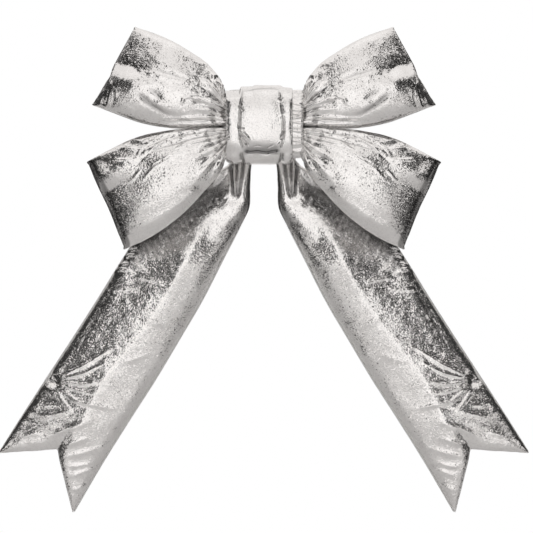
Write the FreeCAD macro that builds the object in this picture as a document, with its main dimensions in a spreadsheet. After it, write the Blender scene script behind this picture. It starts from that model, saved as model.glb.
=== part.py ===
"""Large padded ready-made bow: four loops, a centre knot and two swallow-cut tails.

Frame: X to the right, +Y back towards the wall the bow hangs on, +Z up, millimetres.
The origin is the middle of the back strap's rear face, which lies on that wall.
"""
import FreeCAD, Part
import os
from math import sin, tan
import Sketcher

Vector = FreeCAD.Vector
Rotation = FreeCAD.Rotation
Placement = FreeCAD.Placement

# Driving dimensions, in millimetres and degrees. X and Z are measured from the knot's centre
# on the right-hand side of the bow; the left side is the same shape turned half round.
DIMENSIONS = {
    # lame cloth and the padded band that every loop and tail is made of
    "cloth": 0.8,
    "band": 10.6,
    # the knot
    "knot_middle_y": -57.0,
    "knot_left": 49.0,
    "knot_right": 37.0,
    "knot_height": 99.0,
    "knot_depth": 78.0,
    "knot_corner": 28.0,
    "knot_wall": 7.5,
    "wrap_left": 46.0,
    "wrap_right": 51.0,
    "wrap_wall": 4.5,
    # the bundle inside the knot and the tie round it
    "gather_length": 21.0,
    "gather_depth": 53.0,
    "gather_corner": 16.0,
    "tie_width": 5.0,
    "tie_wall": 1.4,
    "tie_head": 8.0,
    # necks of the loops, where they pass into the knot
    "neck_x": 24.0,
    "neck_radius": 12.0,
    "mouth_x": 58.0,
    # upper loop: its fold line is upper_reach from the neck, tipped by upper_tilt
    "upper_neck_z": 14.0,
    "upper_tilt": 29.0,
    "upper_reach": 179.5,
    "upper_belly_at": 100.0,
    "upper_fold_at": 165.0,
    "upper_mouth_z": 30.0,
    "upper_shoulder_x": 68.0,
    "upper_shoulder_z": 63.0,
    "upper_outer_bulge_x": 120.0,
    "upper_outer_bulge_z": 106.0,
    "upper_outer_corner_x": 174.0,
    "upper_outer_corner_z": 130.0,
    "upper_inner_corner_x": 230.0,
    "upper_inner_corner_z": 29.0,
    "upper_inner_bulge_x": 143.0,
    "upper_inner_bulge_z": 2.0,
    "upper_seam_z": -0.5,
    # lower loop, named in the same way: outer is the side away from the other loop
    "lower_neck_z": -18.0,
    "lower_tilt": -23.0,
    "lower_reach": 203.0,
    "lower_belly_at": 112.0,
    "lower_fold_at": 188.0,
    "lower_mouth_z": -30.0,
    "lower_shoulder_x": 68.0,
    "lower_shoulder_z": -72.0,
    "lower_outer_bulge_x": 125.0,
    "lower_outer_bulge_z": -129.0,
    "lower_outer_corner_x": 189.4,
    "lower_outer_corner_z": -166.1,
    "lower_inner_corner_x": 237.4,
    "lower_inner_corner_z": -53.1,
    "lower_inner_bulge_x": 150.0,
    "lower_inner_bulge_z": -18.0,
    "lower_seam_z": -7.0,
    # both loops seen end on: half depths at the neck, belly and fold
    "flank_at": 32.0,
    "neck_half": 17.0,
    "belly_half": 38.0,
    "fold_half": 19.0,
    "hollow_at": 48.0,
    "hollow_half": 2.0,
    # tails
    "tail_middle_y": -10.0,
    "tail_thickness": 12.0,
    "tail_pin_x": 13.0,
    "tail_top_radius": 10.0,
    "tail_inner_x": 18.0,
    "tail_inner_top_z": -50.0,
    "tail_inner_low_z": -107.0,
    "tail_inner_bulge_x": 113.0,
    "tail_inner_bulge_z": -287.0,
    "tail_inner_tip_x": 249.0,
    "tail_inner_tip_z": -508.0,
    "tail_notch_x": 271.0,
    "tail_notch_z": -425.0,
    "tail_outer_tip_x": 348.0,
    "tail_outer_tip_z": -428.0,
    "tail_shoulder_x": 142.0,
    "tail_shoulder_z": -110.0,
    "tail_neck_x": 48.0,
    "tail_neck_z": -50.0,
    "tail_outer_x": 25.0,
    "tail_outer_z": -16.0,
    "tail_edge": 4.0,
    "tack_x": 279.0,
    "tack_z": -335.0,
    "tack_length": 7.0,
    "thread": 1.2,
    # back strap with its staples
    "strap_half": 37.0,
    "strap_leg_x": 31.6,
    "strap_height": 22.0,
    "strap_thick": 2.4,
    "staple_crown": 5.0,
    "staple_wire": 0.8,
    # wire hanging loop and its tab
    "hanger_y": -14.5,
    "hanger_z": 26.0,
    "hanger_half": 11.0,
    "hanger_reach": 18.0,
    "hanger_wire": 2.0,
    "hanger_lean": 4.0,
    "tab_half": 6.0,
    "tab_low_z": 13.0,
    "tab_thick": 1.5,
    "pivot_gap": 0.06,
}


class Size:
    """A length in the dimension sheet, or a sum of some, with the expression that binds it."""

    def __init__(self, text, value):
        self.text = text
        self.value = value

    def __add__(self, other):
        other = as_size(other)
        return Size(f"({self.text} + {other.text})", self.value + other.value)

    def __sub__(self, other):
        other = as_size(other)
        return Size(f"({self.text} - {other.text})", self.value - other.value)

    def __mul__(self, factor):
        return Size(f"({self.text} * {factor})", self.value * factor)

    def __neg__(self):
        return self * -1


def as_size(number):
    """Take a plain number as a size, and leave a size as it is."""
    if isinstance(number, Size):
        return number
    return Size(str(number), float(number))


def size(name):
    """The size that the sheet holds under this name."""
    return Size("dims." + name, float(getattr(dims, name)))


document = FreeCAD.newDocument("padded_bow")
dims = document.addObject("Spreadsheet::Sheet", "dims")
for row, (name, value) in enumerate(DIMENSIONS.items(), start=1):
    dims.set(f"A{row}", name)
    dims.set(f"B{row}", str(value))
    dims.setAlias(f"B{row}", name)
document.recompute()

subparts = []


# ---- drawing helpers ----


def bind(thing, attribute, length):
    """Bind one property of a document object to the sheet."""
    thing.setExpression(attribute, as_size(length).text)


def new_body(name):
    """An empty PartDesign body."""
    return document.addObject("PartDesign::Body", name)


def new_sketch(body, name, role):
    """A sketch on one of the body's own origin planes."""
    sketch = body.newObject("Sketcher::SketchObject", name)
    for feature in body.Origin.OriginFeatures:
        if feature.Role == role:
            sketch.AttachmentSupport = [(feature, "")]
    sketch.MapMode = "FlatFace"
    return sketch


def pin(sketch, geometry, vertex, point):
    """Hold one vertex at a point of two sizes, measured from the sketch's origin."""
    for direction, length in zip(("DistanceX", "DistanceY"), point):
        number = as_size(length)
        index = sketch.addConstraint(
            Sketcher.Constraint(direction, -1, 1, geometry, vertex, number.value)
        )
        if "dims." in number.text:
            sketch.setExpression(f"Constraints[{index}]", number.text)


def to_vector(point):
    """The sketch position of a point of two sizes."""
    return Vector(as_size(point[0]).value, as_size(point[1]).value, 0)


def nearest_vertex(sketch, edge, where):
    """Which end of an edge, 1 or 2, lies at a position."""
    gaps = {vertex: (sketch.getPoint(edge, vertex) - where).Length for vertex in (1, 2)}
    return min(gaps, key=gaps.get)


def closed_outline(sketch, corners):
    """Draw a closed outline. Each corner is (x, y), or (x, y, bulge) where the edge that
    leaves it is an arc through the bulge point."""
    for index, corner in enumerate(corners):
        following = corners[(index + 1) % len(corners)]
        start = to_vector(corner)
        end = to_vector(following)
        if len(corner) == 3:
            bulge = corner[2]
            edge = sketch.addGeometry(Part.Arc(start, to_vector(bulge), end))
            middle = sketch.addGeometry(Part.Point(to_vector(bulge)), True)
            pin(sketch, middle, 1, bulge)
            sketch.addConstraint(Sketcher.Constraint("PointOnObject", middle, 1, edge))
        else:
            edge = sketch.addGeometry(Part.LineSegment(start, end))
        pin(sketch, edge, nearest_vertex(sketch, edge, start), corner[:2])
        pin(sketch, edge, nearest_vertex(sketch, edge, end), following[:2])


def pad(body, sketch, name, thickness):
    """Pad a sketch by the same amount to both sides of its plane."""
    feature = body.newObject("PartDesign::Pad", name)
    feature.Profile = sketch
    feature.Length = as_size(thickness).value
    bind(feature, "Length", thickness)
    feature.Midplane = True
    document.recompute()
    return feature


def pocket(body, sketch, name, thickness):
    """Cut a sketch out to both sides of its plane, and make sure that it did."""
    before = body.Shape.Volume
    feature = body.newObject("PartDesign::Pocket", name)
    feature.Profile = sketch
    feature.Length = as_size(thickness).value
    bind(feature, "Length", thickness)
    feature.Midplane = True
    document.recompute()
    if body.Shape.Volume >= before - 1:
        raise RuntimeError(name + " cut nothing")
    return feature


def slab(name, role, corners, thickness):
    """A body that is one padded outline."""
    body = new_body(name)
    sketch = new_sketch(body, name + "_outline", role)
    closed_outline(sketch, corners)
    pad(body, sketch, name + "_pad", thickness)
    return body


def combine(kind, name, base, tool):
    """A Part boolean of two objects, kind being Cut, Common or Fuse."""
    result = document.addObject("Part::" + kind, name)
    result.Base = base
    result.Tool = tool
    return result


def as_subpart(thing, label):
    """Name an object as one piece of the bow."""
    thing.Label = label
    subparts.append(thing)
    return thing


def stand_on_side(thing, side, middle_y):
    """Put a right-hand shape in place on its side of the bow, at its depth."""
    turn = 0 if side == "right" else 180
    thing.Placement = Placement(Vector(0, 0, 0), Rotation(Vector(0, 0, 1), turn))
    bind(thing, "Placement.Base.y", middle_y)


def rounded_rectangle(low_x, high_x, low_y, high_y, radius):
    """Corners of a rectangle whose corners are quarter circles."""
    reach = radius * (1 - 0.5**0.5)
    return [
        (low_x + radius, low_y),
        (high_x - radius, low_y, (high_x - reach, low_y + reach)),
        (high_x, low_y + radius),
        (high_x, high_y - radius, (high_x - reach, high_y - reach)),
        (high_x - radius, high_y),
        (low_x + radius, high_y, (low_x + reach, high_y - reach)),
        (low_x, high_y - radius),
        (low_x, low_y + radius, (low_x + reach, low_y + reach)),
    ]


# ---- loops ----


def loop_plan(inset):
    """Outer teardrop of a loop seen along its fold, as a function of the loop's level."""

    def corners(level):
        neck = size("neck_half") - inset
        belly_x = size(level + "_belly_at")
        belly = size("belly_half") - inset
        fold_x = size(level + "_fold_at")
        fold = size("fold_half") - inset
        tip = size(level + "_reach") - inset
        back = -size("neck_radius") * 1.5
        return [
            (back, -neck),
            (size("flank_at"), -neck, (belly_x, -belly)),
            (fold_x, -fold, (tip, 0)),
            (fold_x, fold, (belly_x, belly)),
            (size("flank_at"), neck),
            (back, neck),
        ]

    return corners


def hollow_plan(inset):
    """Inner teardrop: the open space between the loop's two layers, widened by minus inset."""

    def corners(level):
        start = size("hollow_at") + inset
        slit = size("hollow_half") - inset
        belly_x = size(level + "_belly_at")
        belly = size("belly_half") - size("band") - inset
        fold_x = size(level + "_fold_at") - size("cloth") * 2
        fold = size("fold_half") - size("band") - inset
        tip = size(level + "_reach") - size("band") - inset
        return [
            (start, -slit, (belly_x, -belly)),
            (fold_x, -fold, (tip, 0)),
            (fold_x, fold, (belly_x, belly)),
            (start, slit),
        ]

    return corners


def loop_ring(level, name, outer, inner):
    """Teardrop tube along the fold direction, tipped to the loop's tilt at its neck."""
    body = new_body(name)
    tube_length = size(level + "_reach") * 1.6
    outer_sketch = new_sketch(body, name + "_outer", "XY_Plane")
    closed_outline(outer_sketch, outer(level))
    pad(body, outer_sketch, name + "_tube", tube_length)
    inner_sketch = new_sketch(body, name + "_inner", "XY_Plane")
    closed_outline(inner_sketch, inner(level))
    pocket(body, inner_sketch, name + "_hollow", tube_length)
    body.Placement = Placement(Vector(0, 0, 0), Rotation(Vector(0, -1, 0), 10))
    bind(body, "Placement.Rotation.Angle", size(level + "_tilt"))
    bind(body, "Placement.Base.x", size("neck_x"))
    bind(body, "Placement.Base.z", size(level + "_neck_z"))
    return body


def loop_front(level, name, inset, with_neck):
    """Front outline of a loop as a thick slab, with or without the neck inside the knot."""
    away = 1 if level == "upper" else -1
    step = size("cloth") * (inset * away)
    neck_x = size("neck_x")
    neck_z = size(level + "_neck_z")
    neck_radius = size("neck_radius")
    mouth_x = size("mouth_x")

    def corner(part, *extra):
        z = size(f"{level}_{part}_z")
        moved = z + step if part.startswith("inner") else z - step
        return (size(f"{level}_{part}_x"), moved, *extra)

    shape = [
        (mouth_x, size(level + "_seam_z") + step, corner("inner_bulge")),
        corner("inner_corner"),
        corner("outer_corner", corner("outer_bulge")),
        corner("shoulder"),
        (mouth_x, size(level + "_mouth_z") - step),
    ]
    if with_neck:
        shape += [
            (neck_x, neck_z + neck_radius * away, (neck_x - neck_radius, neck_z)),
            (neck_x, neck_z - neck_radius * away),
        ]
    return slab(name, "XZ_Plane", shape, size("belly_half") * 3)


def make_loops(level):
    """Both loops of one level: each a sewn cover with a wadding strip inside."""
    cloth = size("cloth")
    band_ring = loop_ring(level, level + "_band_ring", loop_plan(0), hollow_plan(0))
    pad_ring = loop_ring(
        level, level + "_pad_ring", loop_plan(cloth), hollow_plan(-cloth)
    )
    whole_front = loop_front(level, level + "_front", 0, True)
    pad_front = loop_front(level, level + "_pad_front", 1, False)
    band_shape = combine("Common", level + "_band_shape", band_ring, whole_front)
    pad_shape = combine("Common", level + "_pad_shape", pad_ring, pad_front)
    for side in ("left", "right"):
        label = f"{side}_{level}_loop"
        cover = combine("Cut", label + "_cover", band_shape, pad_shape)
        stand_on_side(cover, side, size("knot_middle_y"))
        as_subpart(cover, label + "_cover")
        wadding = combine("Common", label + "_wadding", pad_ring, pad_front)
        stand_on_side(wadding, side, size("knot_middle_y"))
        as_subpart(wadding, label + "_wadding")


# ---- tails ----


def tail_outline():
    """Front outline of the right tail, from its rounded top to its swallow cut."""
    pin_x = size("tail_pin_x")
    radius = size("tail_top_radius")
    inner_x = size("tail_inner_x")
    return [
        (pin_x + radius, 0, (pin_x, radius)),
        (pin_x - radius, 0),
        (inner_x, size("tail_inner_top_z")),
        (
            inner_x,
            size("tail_inner_low_z"),
            (size("tail_inner_bulge_x"), size("tail_inner_bulge_z")),
        ),
        (size("tail_inner_tip_x"), size("tail_inner_tip_z")),
        (size("tail_notch_x"), size("tail_notch_z")),
        (size("tail_outer_tip_x"), size("tail_outer_tip_z")),
        (size("tail_shoulder_x"), size("tail_shoulder_z")),
        (size("tail_neck_x"), size("tail_neck_z")),
        (size("tail_outer_x"), size("tail_outer_z")),
    ]


def tail_wadding_outline():
    """The wadding's outline: a sewn margin inside the tail's edges, and none at the gather."""
    edge = size("tail_edge")
    return [
        (
            size("tail_inner_x") + edge,
            size("tail_inner_low_z") + edge,
            (size("tail_inner_bulge_x") + edge, size("tail_inner_bulge_z") + edge),
        ),
        (size("tail_inner_tip_x") + edge, size("tail_inner_tip_z") + edge * 6),
        (size("tail_notch_x") - edge, size("tail_notch_z") + edge * 1.5),
        (size("tail_outer_tip_x") - edge * 4, size("tail_outer_tip_z") + edge),
        (size("tail_shoulder_x") - edge, size("tail_shoulder_z") - edge),
        (size("tail_neck_x") + edge, size("tail_inner_top_z") - edge * 4),
    ]


def make_tails():
    """Both tails: cover, wadding and the tack stitch that quilts them together."""
    thick = size("tail_thickness")
    thread = size("thread")
    whole = slab("tail_shape", "XZ_Plane", tail_outline(), thick)
    core = slab(
        "tail_core", "XZ_Plane", tail_wadding_outline(), thick - size("cloth") * 2
    )
    hole_corners = [
        (size("tack_x") - thread, size("tack_z") - thread),
        (size("tack_x") + thread, size("tack_z") - thread),
        (size("tack_x") + thread, size("tack_z") + thread),
        (size("tack_x") - thread, size("tack_z") + thread),
    ]
    hole = slab("tack_hole", "XZ_Plane", hole_corners, thick * 2)
    skin = combine("Cut", "tail_skin", whole, core)
    half_bar = size("tack_length") * 0.5
    bar_corners = [
        (size("tack_x") - half_bar, size("tack_z") - thread * 0.5),
        (size("tack_x") + half_bar, size("tack_z") - thread * 0.5),
        (size("tack_x") + half_bar, size("tack_z") + thread * 0.5),
        (size("tack_x") - half_bar, size("tack_z") + thread * 0.5),
    ]
    bars = slab("tack_bars", "XZ_Plane", bar_corners, thick + thread)
    between = slab("tack_between", "XZ_Plane", bar_corners, thick)
    crowns = combine("Cut", "tack_crowns", bars, between)
    post_corners = [
        (size("tack_x") - thread * 0.5, size("tack_z") - thread * 0.5),
        (size("tack_x") + thread * 0.5, size("tack_z") - thread * 0.5),
        (size("tack_x") + thread * 0.5, size("tack_z") + thread * 0.5),
        (size("tack_x") - thread * 0.5, size("tack_z") + thread * 0.5),
    ]
    post = slab("tack_post", "XZ_Plane", post_corners, thick + thread)
    pieces = {
        "cover": ("Cut", skin, hole),
        "wadding": ("Cut", core, hole),
        "tack_stitch": ("Fuse", crowns, post),
    }
    for side in ("left", "right"):
        for name, (kind, base, tool) in pieces.items():
            label = f"{side}_tail_{name}"
            piece = combine(kind, label, base, tool)
            stand_on_side(piece, side, size("tail_middle_y"))
            as_subpart(piece, label)


# ---- knot ----


def knot_section(inset):
    """Rounded section of the knot in the YZ plane, inset all round."""
    half_depth = size("knot_depth") * 0.5 - inset
    half_height = size("knot_height") * 0.5 - inset
    middle = size("knot_middle_y")
    return rounded_rectangle(
        middle - half_depth,
        middle + half_depth,
        -half_height,
        half_height,
        size("knot_corner") - inset,
    )


def knot_ring(name, outer_inset, inner_inset, left, right):
    """A ring round the X axis, reaching from left to right of the knot's centre."""
    body = new_body(name)
    outer_sketch = new_sketch(body, name + "_outer", "YZ_Plane")
    closed_outline(outer_sketch, knot_section(outer_inset))
    pad(body, outer_sketch, name + "_pad", left + right)
    inner_sketch = new_sketch(body, name + "_inner", "YZ_Plane")
    closed_outline(inner_sketch, knot_section(inner_inset))
    pocket(body, inner_sketch, name + "_opening", (left + right) * 2)
    bind(body, "Placement.Base.x", (right - left) * 0.5)
    return body


def make_knot():
    """Knot cover, the wadding under it and the gathered inner wrap."""
    cloth = size("cloth")
    wall = size("knot_wall")
    left = size("knot_left")
    right = size("knot_right")
    whole = knot_ring("knot_whole", 0, wall, left, right)
    wadding = knot_ring("knot_wadding", cloth, wall, left - cloth, right - cloth)
    cover = combine("Cut", "knot_cover", whole, wadding)
    as_subpart(cover, "knot_cover")
    as_subpart(wadding, "knot_wadding")
    wrap = knot_ring(
        "inner_wrap",
        wall,
        wall + size("wrap_wall"),
        size("wrap_left"),
        size("wrap_right"),
    )
    as_subpart(wrap, "inner_wrap")


def make_gather_and_tie():
    """The bundle of gathered loop ends, grooved by the tie pulled tight round it."""
    middle = size("knot_middle_y")
    corner = size("gather_corner")
    wall = size("tie_wall")
    half_height = size("knot_height") * 0.5 - size("knot_wall") - size("wrap_wall")
    half_depth = size("gather_depth") * 0.5

    def section(inset):
        return rounded_rectangle(
            middle - half_depth + inset,
            middle + half_depth - inset,
            -half_height + inset,
            half_height - inset,
            corner - inset,
        )

    bundle = slab("bundle", "YZ_Plane", section(0), size("gather_length"))
    band = new_body("tie_band")
    outer = new_sketch(band, "tie_outer", "YZ_Plane")
    closed_outline(outer, section(0))
    pad(band, outer, "tie_pad", size("tie_width"))
    inner = new_sketch(band, "tie_inner", "YZ_Plane")
    closed_outline(inner, section(wall))
    pocket(band, inner, "tie_opening", size("tie_width") * 2)
    head = size("tie_head")
    back = middle + half_depth
    head_corners = [
        (back - head * 0.6, -head * 0.5),
        (back, -head * 0.5),
        (back, head * 0.5),
        (back - head * 0.6, head * 0.5),
    ]
    head_block = slab(
        "tie_head_block", "YZ_Plane", head_corners, size("tie_width") * 0.99
    )
    tie = combine("Fuse", "waist_tie", band, head_block)
    as_subpart(tie, "waist_tie")
    gather = combine("Cut", "waist_gather", bundle, tie)
    as_subpart(gather, "waist_gather")


# ---- back of the knot ----


def make_back_strap():
    """Top-hat strap over the tops of the tails, stapled to the knot at both ends."""
    half = size("strap_half")
    leg = size("strap_leg_x")
    thick = size("strap_thick")
    foot = size("knot_middle_y") + size("knot_depth") * 0.5
    corners = [
        (-half, foot),
        (-leg + thick, foot),
        (-leg + thick, -thick),
        (leg - thick, -thick),
        (leg - thick, foot),
        (half, foot),
        (half, foot + thick),
        (leg, foot + thick),
        (leg, 0),
        (-leg, 0),
        (-leg, foot + thick),
        (-half, foot + thick),
    ]
    strap = slab("back_strap", "XY_Plane", corners, size("strap_height"))
    as_subpart(strap, "back_strap")


def make_staples():
    """Four staple crowns on the strap's feet, as separate solids of one piece."""
    wire = float(dims.staple_wire)
    crown = float(dims.staple_crown)
    foot_x = (float(dims.strap_half) + float(dims.strap_leg_x)) / 2
    foot_y = float(dims.knot_middle_y) + float(dims.knot_depth) / 2 + float(dims.strap_thick)
    high_z = float(dims.strap_height) / 4
    staples = []
    for x in (-foot_x, foot_x):
        for z in (-high_z, high_z):
            corner = Vector(x - wire / 2, foot_y, z - crown / 2)
            staples.append(Part.makeBox(wire, wire, crown, corner))
    feature = document.addObject("Part::Feature", "strap_staples")
    feature.Shape = Part.makeCompound(staples)
    as_subpart(feature, "strap_staples")


def make_hanger():
    """Wire hanging loop, a rounded triangle on a straight bar, and the tab that carries it."""
    wire = float(dims.hanger_wire) / 2
    half = float(dims.hanger_half)
    reach = float(dims.hanger_reach)
    top_half = half * 0.35
    corner = half * 0.3
    path_points = [
        Vector(-half, 0, 0),
        Vector(half, 0, 0),
        Vector(top_half, 0, reach),
        Vector(-top_half, 0, reach),
    ]
    path = rounded_wire(path_points, corner)
    start = path.Edges[0].valueAt(path.Edges[0].FirstParameter)
    section = Part.Wire(Part.makeCircle(wire, start, Vector(1, 0, 0)))
    ring = path.makePipeShell([section], True, True)
    pivot = Vector(0, float(dims.hanger_y), float(dims.hanger_z))
    lean = Rotation(Vector(1, 0, 0), float(dims.hanger_lean))
    feature = document.addObject("Part::Feature", "hanging_loop")
    feature.Shape = ring
    feature.Placement = Placement(pivot, lean)
    as_subpart(feature, "hanging_loop")

    pivot_y = size("hanger_y")
    pivot_z = size("hanger_z")
    knot_back = size("knot_middle_y") + size("knot_depth") * 0.5
    outside = size("hanger_wire") * 0.5 + size("pivot_gap") + size("tab_thick")
    corners = [
        (knot_back, size("tab_low_z")),
        (knot_back + size("tab_thick"), size("tab_low_z")),
        (pivot_y + outside, pivot_z - outside * 0.5),
        (pivot_y + outside, pivot_z, (pivot_y, pivot_z + outside)),
        (pivot_y - outside, pivot_z),
        (pivot_y - outside, pivot_z - outside),
        (knot_back, pivot_z - outside * 2),
    ]
    block = slab("tab_block", "YZ_Plane", corners, size("tab_half") * 2)
    bore = document.addObject("Part::Cylinder", "tab_bore")
    bore.Placement = Placement(Vector(0, 0, 0), Rotation(Vector(0, 1, 0), 90))
    bind(bore, "Radius", size("hanger_wire") * 0.5 + size("pivot_gap"))
    bind(bore, "Height", size("tab_half") * 4)
    bind(bore, "Placement.Base.x", -size("tab_half") * 2)
    bind(bore, "Placement.Base.y", pivot_y)
    bind(bore, "Placement.Base.z", pivot_z)
    tab = combine("Cut", "hanger_tab", block, bore)
    as_subpart(tab, "hanger_tab")


def rounded_wire(points, radius):
    """A closed wire of straight runs joined by tangent arcs, starting inside the first run."""
    edges = []
    count = len(points)
    start = (points[0] + points[1]) * 0.5
    cursor = start
    for index in range(count):
        here = points[(index + 1) % count]
        before = (points[index] - here).normalize()
        after = (points[(index + 2) % count] - here).normalize()
        half_angle = before.getAngle(after) / 2
        setback = radius / tan(half_angle)
        enter = here + before * setback
        leave = here + after * setback
        inward = (before + after).normalize()
        middle = here + inward * (radius / sin(half_angle) - radius)
        edges.append(Part.makeLine(cursor, enter))
        edges.append(Part.Arc(enter, middle, leave).toShape())
        cursor = leave
    edges.append(Part.makeLine(cursor, start))
    return Part.Wire(edges)


# ---- whole bow ----


def check_document():
    """Stop if any object of the document, or any piece's shape, has failed."""
    for thing in document.Objects:
        if "Invalid" in thing.State or "Error" in thing.State:
            raise RuntimeError(f"{thing.Label} failed: {thing.State}")
    for piece in subparts:
        if piece.Shape.isNull() or not piece.Shape.isValid() or piece.Shape.Volume <= 0:
            raise RuntimeError(f"{piece.Label} has no valid solid")


def export_pieces():
    """Write each piece to its own file, named after it."""
    os.makedirs("parts", exist_ok=True)
    for piece in subparts:
        piece.Shape.exportStep(f"parts/{piece.Label}.step")
        print(f"{piece.Label:28s} {len(piece.Shape.Solids)} solid {piece.Shape.Volume:12.1f} mm3")


make_loops("upper")
make_loops("lower")
make_tails()
make_knot()
make_gather_and_tie()
make_back_strap()
make_staples()
make_hanger()
document.recompute()
check_document()
export_pieces()
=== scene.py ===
"""A large padded bow in crinkled silver lame, hung by its back strap, seen from the front.

Metres, X right, +Y back to the wall, +Z up, the origin on the back strap's rear face.
Shapes are drawn for the right-hand side and mirrored, since both sides are cut alike.
"""
import math

import bmesh
import bpy
import numpy as np
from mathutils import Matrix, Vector


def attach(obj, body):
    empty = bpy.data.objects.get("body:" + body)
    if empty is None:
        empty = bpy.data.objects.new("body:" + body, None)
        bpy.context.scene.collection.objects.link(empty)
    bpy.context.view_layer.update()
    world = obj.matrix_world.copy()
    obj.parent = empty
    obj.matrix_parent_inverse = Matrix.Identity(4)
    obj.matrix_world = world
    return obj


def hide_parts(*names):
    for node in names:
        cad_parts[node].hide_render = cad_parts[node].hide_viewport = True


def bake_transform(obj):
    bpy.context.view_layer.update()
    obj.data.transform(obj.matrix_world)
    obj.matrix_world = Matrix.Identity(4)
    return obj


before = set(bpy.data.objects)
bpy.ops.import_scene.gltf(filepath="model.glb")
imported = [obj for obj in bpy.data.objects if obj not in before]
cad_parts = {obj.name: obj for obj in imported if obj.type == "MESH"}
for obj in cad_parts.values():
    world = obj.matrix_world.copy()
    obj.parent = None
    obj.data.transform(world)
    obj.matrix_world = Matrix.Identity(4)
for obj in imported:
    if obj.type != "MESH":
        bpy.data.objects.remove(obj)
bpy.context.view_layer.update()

MM = 0.001
KNOT_Y = -57 * MM
SIDES = {"right": 1, "left": -1}

# The cloth simulation: each sleeve is blown up a little and no point goes past the cap.
SIM_FRAMES = 20
SIM_CAP = 4 * MM
CLOTH = {
    "quality": 5,
    "mass": 0.15,
    "tension_stiffness": 15,
    "compression_stiffness": 15,
    "shear_stiffness": 6,
    "bending_stiffness": 6,
    "tension_damping": 8,
    "compression_damping": 8,
    "air_damping": 2,
    "use_pressure": True,
    "uniform_pressure_force": 2.5,
}


# ---- small maths ----


def smooth(x, low=0.0, high=1.0):
    """0 below low, 1 above high, with a smooth rise between."""
    t = np.clip((np.asarray(x, float) - low) / (high - low), 0, 1)
    return t * t * (3 - 2 * t)


def path(points):
    """A smooth curve through the points, as a function of a fraction of its length."""
    points = np.array(points, float)
    steps = np.linalg.norm(np.diff(points, axis=0), axis=1)
    knots = np.concatenate([[0], np.cumsum(steps)])
    knots /= knots[-1]
    slopes = np.gradient(points, knots, axis=0)

    def at(fraction):
        fraction = np.clip(np.asarray(fraction, float), 0, 1)
        index = np.clip(np.searchsorted(knots, fraction, "right") - 1, 0, len(knots) - 2)
        span = (knots[index + 1] - knots[index])[..., None]
        t = (fraction - knots[index])[..., None] / span
        a, b = points[index], points[index + 1]
        da, db = slopes[index] * span, slopes[index + 1] * span
        leaving = (2 * t**3 - 3 * t**2 + 1) * a + (t**3 - 2 * t**2 + t) * da
        return leaving + (3 * t**2 - 2 * t**3) * b + (t**3 - t**2) * db

    return at


def superellipse(count, half_width, half_height, power):
    """Evenly spaced points round a rounded box, from its right-hand side upward."""
    angle = np.linspace(0, 2 * math.pi, 4001)
    x = half_width * np.sign(np.cos(angle)) * np.abs(np.cos(angle)) ** (2 / power)
    y = half_height * np.sign(np.sin(angle)) * np.abs(np.sin(angle)) ** (2 / power)
    length = np.concatenate([[0], np.cumsum(np.hypot(np.diff(x), np.diff(y)))])
    even = np.linspace(0, length[-1], count, endpoint=False)
    return np.stack([np.interp(even, length, x), np.interp(even, length, y)], -1)


class Waves:
    """Smooth random waves in the plane, made from a few seeded cosines."""

    def __init__(self, seed):
        rng = np.random.default_rng(seed)
        count = 14
        self.angle = rng.uniform(0, 2 * math.pi, count)
        self.phase = rng.uniform(0, 2 * math.pi, count)
        self.rate = rng.uniform(0.6, 1.7, count)

    def at(self, x, y, size):
        """Height between about -1 and 1 at positions x and y, with waves about size long."""
        x = np.asarray(x, float) * (2 * math.pi / size)
        y = np.asarray(y, float) * (2 * math.pi / size)
        total = 0
        for angle, phase, rate in zip(self.angle, self.phase, self.rate):
            total = total + np.cos(rate * (x * math.cos(angle) + y * math.sin(angle)) + phase)
        return total / math.sqrt(len(self.angle)) / 1.2

    def folded(self, x, y, size):
        """The same waves folded over at zero, which gives sharp crumple lines."""
        return 1 - 2 * np.abs(self.at(x, y, size))


def fold(x, y, points, width, height, lean=0.0, grow=0.0, fade=0.35):
    """Height of one fold of cloth along a line of points. It grows over the first share of
    the line, fades over the last, and a lean makes its left flank fuller than its right."""
    points = np.array(points, float)
    steps = np.linalg.norm(np.diff(points, axis=0), axis=1)
    passed = np.concatenate([[0], np.cumsum(steps)])
    nearest = np.full(x.shape, np.inf)
    side = np.zeros(x.shape)
    place = np.zeros(x.shape)
    for start, end, step, before in zip(points[:-1], points[1:], steps, passed):
        along = (end - start) / step
        t = np.clip((x - start[0]) * along[0] + (y - start[1]) * along[1], 0, step)
        gap_x = x - start[0] - t * along[0]
        gap_y = y - start[1] - t * along[1]
        gap = np.hypot(gap_x, gap_y)
        closer = gap < nearest
        nearest = np.where(closer, gap, nearest)
        side = np.where(closer, along[0] * gap_y - along[1] * gap_x, side)
        place = np.where(closer, (before + t) / passed[-1], place)
    ends = 1 - smooth(place, 1 - fade, 1)
    if grow:
        ends = ends * smooth(place, 0, grow)
    profile = np.exp(-((nearest / width) ** 2)) * (1 + lean * np.tanh(1.5 * side / width))
    return height * MM * ends * profile


def fold_all(x, y, folds, stretch=1.0):
    """Height of a list of folds whose points are in the same plane as x and y."""
    total = np.zeros(x.shape)
    for points, width, height, *rest in folds:
        scaled = [(a * stretch, b) for a, b in points]
        total += fold(x * stretch, y, scaled, width, height, *rest)
    return total


# ---- mesh building ----


def grid_normals(grid):
    """Unit normals of a grid of points."""
    normals = np.cross(np.gradient(grid, axis=0), np.gradient(grid, axis=1))
    return normals / np.maximum(np.linalg.norm(normals, axis=2, keepdims=True), 1e-12)


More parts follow.
